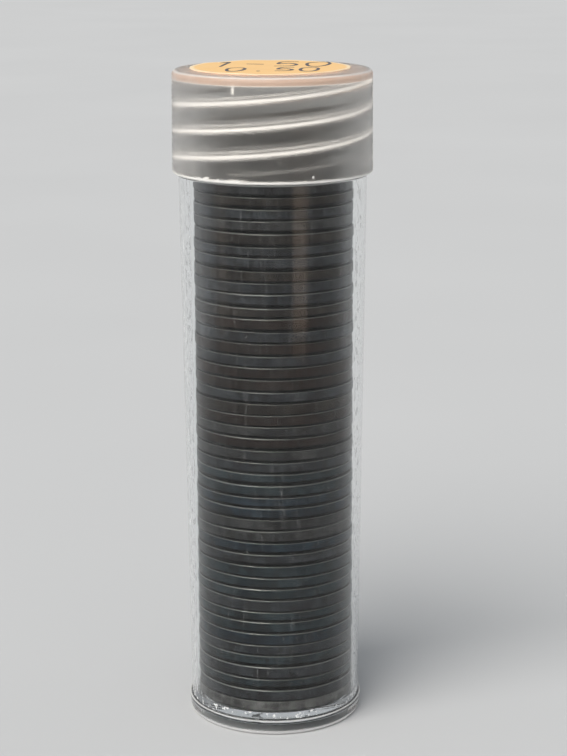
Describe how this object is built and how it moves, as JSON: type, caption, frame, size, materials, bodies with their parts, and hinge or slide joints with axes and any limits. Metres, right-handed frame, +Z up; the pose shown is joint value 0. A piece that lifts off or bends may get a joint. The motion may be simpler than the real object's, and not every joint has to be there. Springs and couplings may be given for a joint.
{
  "type": "coin tube",
  "caption": "Clear round screw-cap tube that holds a roll of small coins, with a translucent cap, a cap liner and a round label on top.",
  "frame": {"origin": "centre of the foot, in the plane that the tube stands on", "axes": "+Z up along the tube's axis towards the cap, -Y towards the viewer of the picture, +X to the viewer's right"},
  "size_m": [0.0238, 0.0238, 0.0799],
  "materials": {
    "clear_plastic": "clear polystyrene, polished, lightly scuffed",
    "cap_plastic": "natural translucent plastic, slightly milky",
    "liner_card": "pressed card, matt",
    "label_paper": "matt paper",
    "coin_metal": "dark toned worn metal"
  },
  "bodies": {
    "tube": {"tube": "clear_plastic"},
    "coin_roll": {"coin_01": "coin_metal", "coin_02": "coin_metal", "coin_03": "coin_metal", "coin_04": "coin_metal", "coin_05": "coin_metal", "coin_06": "coin_metal", "coin_07": "coin_metal", "coin_08": "coin_metal", "coin_09": "coin_metal", "coin_10": "coin_metal", "coin_11": "coin_metal", "coin_12": "coin_metal", "coin_13": "coin_metal", "coin_14": "coin_metal", "coin_15": "coin_metal", "coin_16": "coin_metal", "coin_17": "coin_metal", "coin_18": "coin_metal", "coin_19": "coin_metal", "coin_20": "coin_metal", "coin_21": "coin_metal", "coin_22": "coin_metal", "coin_23": "coin_metal", "coin_24": "coin_metal", "coin_25": "coin_metal", "coin_26": "coin_metal", "coin_27": "coin_metal", "coin_28": "coin_metal", "coin_29": "coin_metal", "coin_30": "coin_metal", "coin_31": "coin_metal", "coin_32": "coin_metal", "coin_33": "coin_metal", "coin_34": "coin_metal", "coin_35": "coin_metal", "coin_36": "coin_metal", "coin_37": "coin_metal", "coin_38": "coin_metal", "coin_39": "coin_metal", "coin_40": "coin_metal", "coin_41": "coin_metal", "coin_42": "coin_metal", "coin_43": "coin_metal", "coin_44": "coin_metal", "coin_45": "coin_metal", "coin_46": "coin_metal", "coin_47": "coin_metal", "coin_48": "coin_metal", "coin_49": "coin_metal", "coin_50": "coin_metal"},
    "liner": {"cap_liner": "liner_card"},
    "cap": {"cap": "cap_plastic", "cap_label": "label_paper"}
  },
  "joints": [
    {"name": "cap_lift", "type": "slide", "parent": "tube", "child": "liner", "axis": [0, 0, 1], "range_m": [0, 0.0185]},
    {"name": "cap_turn", "type": "hinge", "parent": "liner", "child": "cap", "pos_m": [0, 0, 0.0735], "axis": [0, 0, 1], "range_deg": [0, 1080]},
    {"name": "coins_slide", "type": "slide", "parent": "tube", "child": "coin_roll", "axis": [0, 0, 1], "range_m": [0, 0.0041]}
  ],
  "couplings": [
    {"joint": "cap_lift", "follows": "cap_turn", "m_per_rad": 0.00097721}
  ]
}
